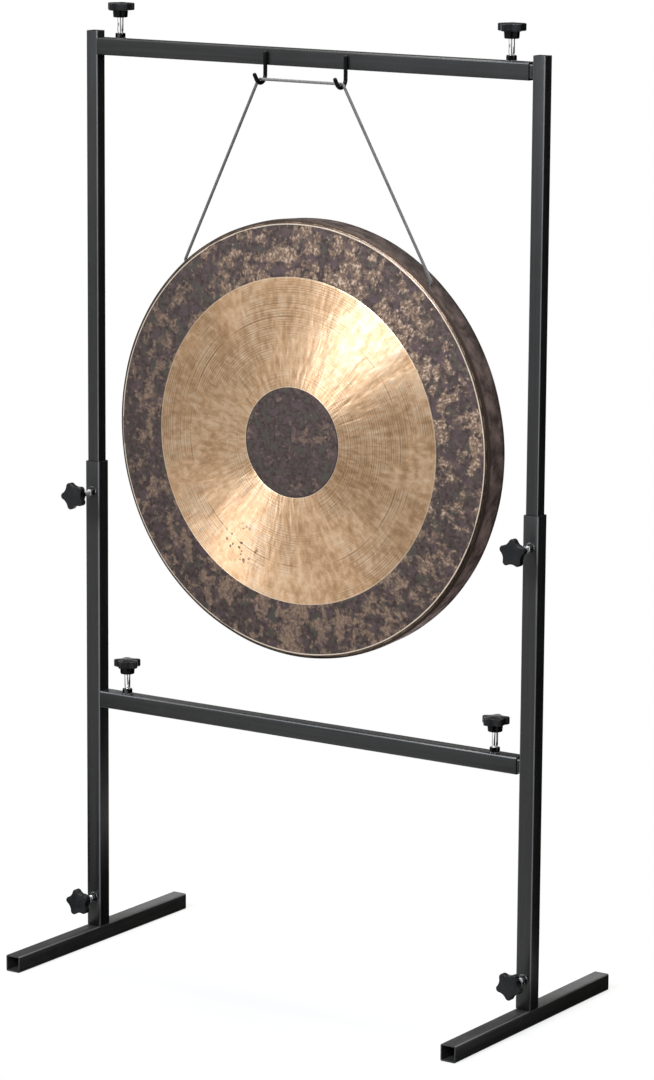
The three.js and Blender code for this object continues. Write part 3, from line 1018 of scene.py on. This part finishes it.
def makeThread(core, bottom):
    pitch, root = studShape["pitch"], core - studShape["ridgeIntoCore"]
    ridge = addShape(bpy.ops.mesh.primitive_circle_add, vertices=3, radius=pitch / 2, fill_type="NOTHING")
    reaches = (root, root, studShape["threadRadius"])
    for vert, reach, share in zip(ridge.data.vertices, reaches, studShape["ridge"]):
        vert.co = (reach, 0, bottom + pitch * share)
    applyModifier(
        ridge, "SCREW", axis="Z", angle=2 * math.pi, screw_offset=pitch,
        iterations=int((studShape["threadTop"] - bottom) / pitch) - 1,
        steps=studShape["turnSteps"], render_steps=studShape["turnSteps"], use_smooth_shade=True,
    )
    editPiece(ridge, "EDGE")
    bpy.ops.mesh.select_non_manifold(extend=False)
    bpy.ops.mesh.fill()
    bpy.ops.object.mode_set(mode="OBJECT")
    faceOutwards(ridge)
    return ridge


def makeStud(standOff):
    top, threadTop, bottom = standOff + studShape["grip"], studShape["threadTop"], -studShape["tip"]
    shank = placeInMesh(addCylinder(48, studShape["radius"], top - threadTop, (0, 0, (top + threadTop) / 2)))
    bevelWhere(
        shank, "faces", lambda face: abs(face.normal.z) > 0.9,
        offset=studShape["edge"], segments=2, affect="EDGES",
    )
    core = studShape["threadRadius"] - studShape["threadDepth"]
    coreTop = threadTop + studShape["coreIntoShank"]
    coreRod = placeInMesh(addCylinder(40, core, coreTop - bottom, (0, 0, (coreTop + bottom) / 2)))
    return joinPieces([shank, coreRod, makeThread(core, bottom)])


knobShape = {
    "radius": 0.0208, "waist": 0.0156, "tip": 0.0052, "head": 0.0115, "points": 5, "outlineSteps": 160,
    "edge": 0.0015, "edgeSteps": 6, "dome": 0.0009, "domeSteps": 8,
    "hubTop": 0.0116, "hubEnd": 0.0106, "hubHeight": 0.0105, "hubIntoHead": 0.003, "hubEdge": 0.001,
    "socketGap": 0.0002, "socketDepth": 0.02, "socketDrop": 0.0017,
    "hubMargin": (0.0004, 0.0003),  # outwards and upwards
}


# Distance from the knob's axis to its outline: round tips joined by hollow sides
def starRadius(angle):
    lobe = math.pi / knobShape["points"]
    tip, waist = knobShape["tip"], knobShape["waist"]
    centre = knobShape["radius"] - tip
    across = centre * math.cos(lobe)
    hollow = (centre**2 + waist**2 - 2 * waist * across - tip**2) / (2 * (tip - waist + across))
    hollowCentre = waist + hollow
    meet = math.atan2(hollowCentre * math.sin(lobe), hollowCentre * math.cos(lobe) - centre)
    meetTurn = math.atan2(tip * math.sin(meet), centre + tip * math.cos(meet))
    turn = (angle + lobe) % (2 * lobe) - lobe
    if abs(turn) < meetTurn:
        return centre * math.cos(turn) + math.sqrt(tip**2 - (centre * math.sin(turn))**2)
    away = lobe - abs(turn)
    return hollowCentre * math.cos(away) - math.sqrt(hollow**2 - (hollowCentre * math.sin(away))**2)


# Rings of the knob's head from its underside to near its top's middle, as share of the outline and height
def knobRings():
    edge, steps = knobShape["edge"], knobShape["edgeSteps"]
    edgeShare, shoulder = edge / knobShape["radius"], knobShape["head"] - knobShape["dome"]
    turns = [math.pi / 2 * step / steps for step in range(steps + 1)]
    arcs = [(1 - math.sin(turn), 1 - math.cos(turn)) for turn in turns]
    rings = [(1 - edgeShare * across, edge * up) for across, up in arcs]
    rings += [(1 - edgeShare * across, shoulder - edge * up) for up, across in arcs]
    for step in range(1, knobShape["domeSteps"]):
        share = 1 - step / knobShape["domeSteps"]
        rings.append(((1 - edgeShare) * share, shoulder + knobShape["dome"] * (1 - share**2)))
    return rings


def makeHead(base):
    rings = knobRings()
    share, height = rings[0]
    head = placeInMesh(addShape(
        bpy.ops.mesh.primitive_circle_add, vertices=knobShape["outlineSteps"], radius=knobShape["radius"],
        fill_type="NGON", location=(0, 0, base),
    ))
    for vert in head.data.vertices:
        angle = math.atan2(vert.co.y, vert.co.x)
        reach = starRadius(angle) * share
        vert.co = (reach * math.cos(angle), reach * math.sin(angle), base)
    editPiece(head)
    bpy.ops.mesh.select_all(action="SELECT")
    for nextShare, nextHeight in rings[1:]:
        bpy.ops.mesh.extrude_region_move(TRANSFORM_OT_translate={"value": (0, 0, nextHeight - height)})
        scale = nextShare / share
        bpy.ops.transform.resize(value=(scale, scale, 1), center_override=(0, 0, base + nextHeight))
        share, height = nextShare, nextHeight
    bpy.ops.object.mode_set(mode="OBJECT")
    faceOutwards(head)
    return head


# Where painted shade darkens the knob: one on the knob's hub and nought on its star
def markHubShade(knob, base):
    outwards, upwards = knobShape["hubMargin"]
    reach = knobShape["hubTop"] + outwards
    share = knob.data.attributes.new("hubShadeShare", "FLOAT", "POINT")
    for vert, entry in zip(knob.data.vertices, share.data):
        entry.value = 1.0 if vert.co.z < base + upwards and vert.co.xy.length < reach else 0.0


def makeKnob(standOff):
    base = standOff + knobShape["hubHeight"]
    knob = makeHead(base)
    hubDepth = knobShape["hubHeight"] + knobShape["hubIntoHead"]
    hub = placeInMesh(addShape(
        bpy.ops.mesh.primitive_cone_add, vertices=72, depth=hubDepth,
        radius1=knobShape["hubEnd"], radius2=knobShape["hubTop"], location=(0, 0, standOff + hubDepth / 2),
    ))
    bevelWhere(
        hub, "faces", lambda face: face.normal.z < -0.9,
        offset=knobShape["hubEdge"], segments=3, affect="EDGES",
    )
    combine(knob, hub, "UNION")
    socketRadius = studShape["radius"] + knobShape["socketGap"]
    socketPlace = (0, 0, standOff - knobShape["socketDrop"])
    combine(knob, addCylinder(48, socketRadius, knobShape["socketDepth"], socketPlace))
    markHubShade(knob, base)
    return knob


def placedCopy(source, matrix):
    piece = addObject(source.name, source.data.copy())
    piece.data.transform(matrix)
    return piece


# How far each knob's hub stands off its tube, and how far the knob is turned
clamps = {
    "top_left": (0.031, 40), "top_right": (0.031, 46), "lower_left": (0.031, 57), "lower_right": (0.031, 36),
    "left_height": (0.030, 40), "right_height": (0.030, 17),
    "left_foot": (0.022, 29), "right_foot": (0.022, 57),
}


def makeClamps():
    weldedNut = joinPieces([makeNut(), makeBead()])
    standOffs = sorted({standOff for standOff, _ in clamps.values()})
    studs = {standOff: makeStud(standOff) for standOff in standOffs}
    knobs = {standOff: makeKnob(standOff) for standOff in standOffs}
    for clamp, (standOff, turn) in clamps.items():
        low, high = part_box(f"{clamp}_nut")
        centre = (low + high) / 2
        if facesFront(clamp):
            place = Matrix.Translation((centre.x, high.y, centre.z)) @ Matrix.Rotation(math.pi / 2, 4, "X")
            zinc = paleZinc
        else:
            place = Matrix.Translation((centre.x, centre.y, low.z))
            zinc = brightZinc
        spun = place @ Matrix.Rotation(math.radians(turn), 4, "Z")
        for source, matrix, name, node, slot, material, smoothAngle in (
            (weldedNut, place, "welded_nut", "nut", "black_coat", nutBlack, 30),
            (studs[standOff], spun, "screw", "stud", "bright_zinc", zinc, 40),
            (knobs[standOff], spun, "star_knob", "knob", "knob_plastic", knobPlastic, 30),
        ):
            piece = placedCopy(source, matrix)
            finishPiece(piece, f"{clamp}_{name}", f"{clamp}_{node}", material, smoothAngle)
    for source in [weldedNut, *studs.values(), *knobs.values()]:
        bpy.data.objects.remove(source)


makeClamps()
print("clamp screws made")


# Hooks: a rod with round ends, and two weld beads that hold its shank to the crossbar

hookShape = {
    "wire": 0.003, "shankY": -0.0158, "shankTop": 1.3753, "shankEnd": 1.36,
    "bendY": -0.0278, "bendZ": 1.3448, "bend": 0.012, "bendSteps": 28, "sweep": 145, "tip": 0.009,
    "endSteps": 7, "endShare": 0.02,
}
hookBead = {
    "radius": 0.0014, "spread": 0.0027, "y": -0.0128, "low": 1.3585, "high": 1.3765, "steps": 48,
    "wave": 0.1, "halfWaves": 15, "rough": 0.03, "fade": 6, "least": 0.05, "seed": {"left": 11, "right": 12},
}


# Adds the points of a half ball beyond each end of a line, and gives the radius at each point
def roundEnds(line, radius, steps, least):
    turns = [math.pi / 2 * step / steps for step in range(1, steps + 1)]

    def halfBall(end, before):
        away = (end - before).normalized()
        return [(end + away * radius * math.sin(turn), max(least, math.cos(turn))) for turn in turns]

    points = [(point, 1.0) for point in line]
    return zip(*halfBall(line[0], line[1])[::-1], *points, *halfBall(line[-1], line[-2]))


def makeRod(side, x):
    line = [Vector((x, hookShape["shankY"], hookShape[end])) for end in ("shankTop", "shankEnd")]
    sweep = math.radians(hookShape["sweep"])
    for step in range(hookShape["bendSteps"] + 1):
        angle = sweep * step / hookShape["bendSteps"]
        y = hookShape["bendY"] + hookShape["bend"] * math.cos(angle)
        line.append(Vector((x, y, hookShape["bendZ"] - hookShape["bend"] * math.sin(angle))))
    rise = Vector((0, -math.sin(sweep), -math.cos(sweep)))
    line.append(line[-1] + rise * hookShape["tip"])
    points, radii = roundEnds(line, hookShape["wire"], hookShape["endSteps"], hookShape["endShare"])
    return curvePiece(f"{side}_bent_hook", [points], hookShape["wire"], 6, radii)


def makeHookBead(side, x, rng):
    line, radii = [], []
    for step in range(hookBead["steps"] + 1):
        share = step / hookBead["steps"]
        z = hookBead["low"] + (hookBead["high"] - hookBead["low"]) * share
        wave = 1 + hookBead["wave"] * math.sin(share * hookBead["halfWaves"] * math.pi)
        wave += rng.uniform(-hookBead["rough"], hookBead["rough"])
        fade = min(1.0, hookBead["fade"] * share, hookBead["fade"] * (1 - share)) ** 0.5
        line.append(Vector((x, hookBead["y"], z)))
        radii.append(max(hookBead["least"], wave * fade))
    return curvePiece(f"{side}_bead", [line], hookBead["radius"], 4, radii)


def makeHook(side):
    low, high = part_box(f"{side}_hook")
    x = (low.x + high.x) / 2
    rng = random.Random(hookBead["seed"][side])
    rod = makeRod(side, x)
    beads = [makeHookBead(side, x + sign * hookBead["spread"], rng) for sign in (-1, 1)]
    hook = joinPieces([rod, *beads])
    return finishPiece(hook, f"{side}_bent_hook", f"{side}_hook", wireBlack, 60)


for side in ("left", "right"):
    makeHook(side)
print("hooks made")


# Gong: a profile turned about Y, then hammered, with its finishes split at two rings

def domeDepth(radius):
    return -gongShape["dome"] * (1 - (radius / faceRadius) ** 2)


# A rounded rise, such as a groove's or a lip's
def swelling(value, height, middle, width):
    return height * math.exp(-((value - middle) / width) ** 2)


# Radius and depth, from the middle of the face over its edge and rim to the middle of its back
def gongProfile():
    shape, rings = gongShape, (centreRing, goldRing)
    faceSteps, wallSteps, insideSteps = (shape[key] for key in ("faceSteps", "wallSteps", "insideSteps"))
    radii = {round(faceRadius * step / faceSteps, 6) for step in range(faceSteps)}
    radii = [radius for radius in radii if all(abs(radius - ring) > shape["ringClear"] for ring in rings)]
    for ring in rings:
        radii += [ring - shape["ringEdge"], ring, ring + shape["ringEdge"]]
    points = []
    for radius in sorted(radii):
        grooves = sum(swelling(radius, shape["groove"], ring, shape["grooveWidth"]) for ring in rings)
        points.append((radius, domeDepth(radius) + grooves))
    for step in range(shape["shoulderSteps"] + 1):
        angle = math.pi / 2 * step / shape["shoulderSteps"]
        reach = shape["shoulder"] + swelling(angle, *shape["lip"])
        radius = faceRadius + reach * math.sin(angle) - swelling(angle, *shape["tuck"])
        points.append((radius, shape["shoulder"] - reach * math.cos(angle)))
    for step in range(1, wallSteps + 1):
        share = step / wallSteps
        depth = shape["shoulder"] + (shape["depth"] - shape["shoulder"]) * share
        points.append((shape["radius"] - shape["taper"] * share, depth))
    points += [(radius - shape["wall"], depth) for radius, depth in points[:-wallSteps - 1:-1]]
    inside = shape["shoulder"] - shape["wall"]
    for step in range(insideSteps, -1, -1):
        angle = math.pi / 2 * step / insideSteps
        points.append((faceRadius + inside * math.sin(angle), shape["shoulder"] - inside * math.cos(angle)))
    for step in range(shape["backSteps"] - 1, -1, -1):
        radius = faceRadius * step / shape["backSteps"]
        points.append((radius, shape["wall"] + domeDepth(radius)))
    return points


def turnProfile(points):
    disc = addShape(bpy.ops.mesh.primitive_plane_add, size=0.001)
    editPiece(disc, "VERT")
    bpy.ops.mesh.select_all(action="SELECT")
    bpy.ops.mesh.merge(type="CENTER")
    at = Vector((*points[0], 0))
    bpy.ops.transform.translate(value=at)
    for point in points[1:]:
        there = Vector((*point, 0))
        bpy.ops.mesh.extrude_vertices_move(TRANSFORM_OT_translate={"value": there - at})
        at = there
    bpy.ops.mesh.select_all(action="SELECT")
    bpy.ops.mesh.spin(
        steps=gongShape["turnSteps"], angle=2 * math.pi, center=(0, 0, 0), axis=(0, 1, 0),
        use_auto_merge=True,
    )
    bpy.ops.mesh.select_all(action="SELECT")
    bpy.ops.mesh.remove_doubles(threshold=1e-6)
    bpy.ops.mesh.normals_make_consistent(inside=False)
    bpy.ops.object.mode_set(mode="OBJECT")
    return disc


hammering = {
    "seed": 7, "dents": 520, "areaShare": (0.05, 0.98), "reach": 0.016, "reachShare": (0.6, 1.5),
    "depth": 0.00016, "sharpness": 1.6, "cutOff": 4, "cell": 0.04,
    "fade": 0.01, "onRim": 0.25,
    "edgeWobble": 0.0005, "wobbleFrom": 0.004,
    "wobbles": [(5, 1, 1.0), (11, 2, 0.6), (23, 0, 0.5)],  # waves round the edge, their start and their size
}


# Dents, sorted into cells so that each point only asks the ones near it
def hammerDents():
    rng = random.Random(hammering["seed"])
    cell, grid = hammering["cell"], {}
    for _ in range(hammering["dents"]):
        radius = faceRadius * math.sqrt(rng.uniform(*hammering["areaShare"]))
        angle = rng.uniform(0, 2 * math.pi)
        reach = hammering["reach"] * rng.uniform(*hammering["reachShare"])
        x, z, way = radius * math.cos(angle), radius * math.sin(angle), rng.uniform(-1, 1)
        grid.setdefault((math.floor(x / cell), math.floor(z / cell)), []).append((x, z, reach, way))
    return grid


def hammerGong(disc):
    grid, cell = hammerDents(), hammering["cell"]
    for vert in disc.data.vertices:
        x, z = vert.co.x, vert.co.z
        radius = math.hypot(x, z)
        push = 0.0
        column, row = math.floor(x / cell), math.floor(z / cell)
        around = ((column + i, row + j) for i in (-1, 0, 1) for j in (-1, 0, 1))
        for dentX, dentZ, reach, way in (dent for place in around for dent in grid.get(place, [])):
            gap = ((x - dentX) ** 2 + (z - dentZ) ** 2) / reach**2
            if gap < hammering["cutOff"]:
                push += way * math.exp(-hammering["sharpness"] * gap)
        fade = min(1.0, max(0.0, (faceRadius - radius) / hammering["fade"]))
        vert.co.y += push * hammering["depth"] * (hammering["onRim"] + fade)
        if radius > faceRadius - hammering["wobbleFrom"]:
            turn = math.atan2(z, x)
            wobble = sum(size * math.sin(waves * turn + start) for waves, start, size in hammering["wobbles"])
            grow = 1 + hammering["edgeWobble"] * wobble
            vert.co.x *= grow
            vert.co.z *= grow


def drillGong(disc):
    for sign in (-1, 1):
        angle = sign * math.radians(gongShape["holeAngle"])
        outward = Vector((math.sin(angle), 0, math.cos(angle)))
        place = outward * gongShape["radius"] + Vector((0, gongShape["holeSetback"], 0))
        combine(disc, addCylinder(32, gongShape["holeRadius"], gongShape["holeDepth"], place, (0, angle, 0)))


# Which of the gong's finishes a face takes
def finishOf(face):
    outward = Vector((face.center.x, 0, face.center.z))
    radius = math.hypot(face.center.x, face.center.z)
    facing = face.normal.dot(outward.normalized() if radius else Vector((0, 0, 1)))
    if face.normal.y > 0.3 or (radius > faceRadius and facing < -0.3):
        return "back"
    if radius > faceRadius + 0.0002:
        return "rim"
    return "gold" if centreRing < radius < goldRing else "patina"


def makeGong():
    disc = turnProfile(gongProfile())
    hammerGong(disc)
    drillGong(disc)
    for material in gongFinishes.values():
        disc.data.materials.append(material)
    order = list(gongFinishes)
    for face in disc.data.polygons:
        face.material_index = order.index(finishOf(face))
    disc.location = gongPlace
    return finishPiece(disc, "hammered_gong", "gong", None, 50)


makeGong()
print("gong made")


# Floor, world and studio lamps

studio = {
    "floorSize": 30.0, "floorColour": 0.96, "floorForDiffuse": 0.2, "whiteNear": 0.7,
    "fadeShape": (1.0, 1.7, 0.0), "fadeFrom": 0.42, "fadeTo": 0.72,
    "ambient": 0.08,
    "target": (0, 0, 0.75),  # what the lamps and the upright flags face
}
lamps = {
    "keyLamp": {
        "place": (-0.55, -6.6, 5.3), "size": (3.1, 3.1), "power": 570, "colour": (0.93, 1.0, 1.1),
    },
    "topLamp": {"place": (0.0, 0.4, 4.4), "size": (3.0, 2.4), "power": 175, "colour": (1.0, 0.975, 0.93)},
}
# Black cards that only reflections see: upright flags, wedges on the floor that widen away from the stand,
# and a strip on the floor beside each foot
flags = {
    "backRightFlag": {"place": (2.0, 3.46, 1.1), "size": (5.6, 4.4)},
    "backLeftFlag": {"place": (-2.4, 4.4, 2.95), "size": (5.0, 3.0)},
    "cameraFlag": {"place": (2.45, -3.77, 1.5), "size": (2.2, 3.4)},
    "leftFlag": {"place": (-3.6, -0.7, 0.9), "size": (1.6, 3.0)},
}
floorFlags = {
    "backRightWedge": {"azimuth": 60, "halfAngle": 35, "near": 0.4, "far": 5.0},
    "cameraWedge": {"azimuth": -57, "halfAngle": 14, "near": 0.5, "far": 6.0},
    "leftWedge": {"azimuth": 190, "halfAngle": 12, "near": 0.5, "far": 9.0},
    "frontLeftWedge": {"azimuth": 236, "halfAngle": 15, "near": 6.3, "far": 13.0},
}
wedge = {"height": 0.001, "spread": 0.3}
footStrips = {"besideLeftFoot": (-0.3835, 0.26), "besideRightFoot": (0.3835, 0.1)}  # start along X, width
strip = {"front": -0.25, "back": 0.42}


# One for rays from the camera, in reflections and through clear things, and nought for light on its way
def seenRays(path):
    return largest(*(Signal(path, f"Is {kind} Ray") for kind in ("Camera", "Glossy", "Transmission")))


def mixShaders(output, share, first, second):
    inputs = {"Fac": share, 1: Signal(first), 2: Signal(second)}
    feed(output, {"Surface": Signal(addNode(output.id_data, "ShaderNodeMixShader", inputs))})


def makeFloor():
    floor = addShape(bpy.ops.mesh.primitive_plane_add, size=studio["floorSize"])
    floor.name = "floor"
    material = bpy.data.materials.new("paleFloor")
    tree, output = emptyTree(material, "ShaderNodeOutputMaterial")
    path = addNode(tree, "ShaderNodeLightPath")
    greys = (grey(studio[key]) for key in ("floorColour", "floorForDiffuse"))
    colour = mixColours(Signal(path, "Is Diffuse Ray"), *greys)
    matt = addNode(tree, "ShaderNodeBsdfDiffuse", {"Color": colour})
    white = addNode(tree, "ShaderNodeEmission", {"Color": grey(1.0), "Strength": 1.0})
    stretched = remapped(objectPlace(tree), Scale=studio["fadeShape"])
    distance = Signal(addNode(tree, "ShaderNodeVectorMath", {0: stretched}, operation="LENGTH"), "Value")
    far = mapRange(distance, studio["fadeFrom"], studio["fadeTo"], kind="SMOOTHSTEP")
    mixShaders(output, largest(far, studio["whiteNear"]) * seenRays(path), matt, white)
    floor.data.materials.append(material)


def makeWorld():
    world = bpy.data.worlds.new("studio")
    bpy.context.scene.world = world
    tree, output = emptyTree(world, "ShaderNodeOutputWorld")
    ambient, white = (
        addNode(tree, "ShaderNodeBackground", {"Color": grey(1.0), "Strength": strength})
        for strength in (studio["ambient"], 1.0)
    )
    mixShaders(output, seenRays(addNode(tree, "ShaderNodeLightPath")), ambient, white)


def aimAtStand(piece, place):
    piece.location = place
    piece.rotation_euler = (Vector(studio["target"]) - piece.location).to_track_quat("-Z", "Y").to_euler()


def makeLamps():
    for name, lamp in lamps.items():
        data = bpy.data.lights.new(name, "AREA")
        data.shape = "RECTANGLE"
        data.size, data.size_y = lamp["size"]
        data.energy = lamp["power"]
        data.color = lamp["colour"]
        aimAtStand(addObject(name, data), lamp["place"])


def addCard(name, material):
    card = addShape(bpy.ops.mesh.primitive_plane_add, size=1)
    card.name = name
    card.data.materials.append(material)
    for kind in ("camera", "diffuse", "shadow", "transmission"):
        setattr(card, f"visible_{kind}", False)
    return card


def makeFlags():
    material, tree, shader = startMaterial("flagCloth")
    feed(shader, {"Base Color": grey(0.0), "Roughness": 1.0, "Specular IOR Level": 0.0})
    for name, flag in flags.items():
        card = addCard(name, material)
        card.scale = (*flag["size"], 1)
        aimAtStand(card, flag["place"])
    for name, flag in floorFlags.items():
        card = addCard(name, material)
        for vert in card.data.vertices:
            reach = flag["far"] if vert.co.x > 0 else flag["near"]
            width = 2 * reach * math.tan(math.radians(flag["halfAngle"])) + wedge["spread"]
            vert.co = (reach, vert.co.y * width, wedge["height"])
        card.rotation_euler = (0, 0, math.radians(flag["azimuth"]))
    for name, (start, width) in footStrips.items():
        card = addCard(name, material)
        card.scale = (width, strip["back"] - strip["front"], 1)
        card.location = (start + width / 2, (strip["front"] + strip["back"]) / 2, wedge["height"])


makeFloor()
makeWorld()
makeLamps()
makeFlags()
bpy.context.scene.view_settings.view_transform = "Standard"
print("studio made")
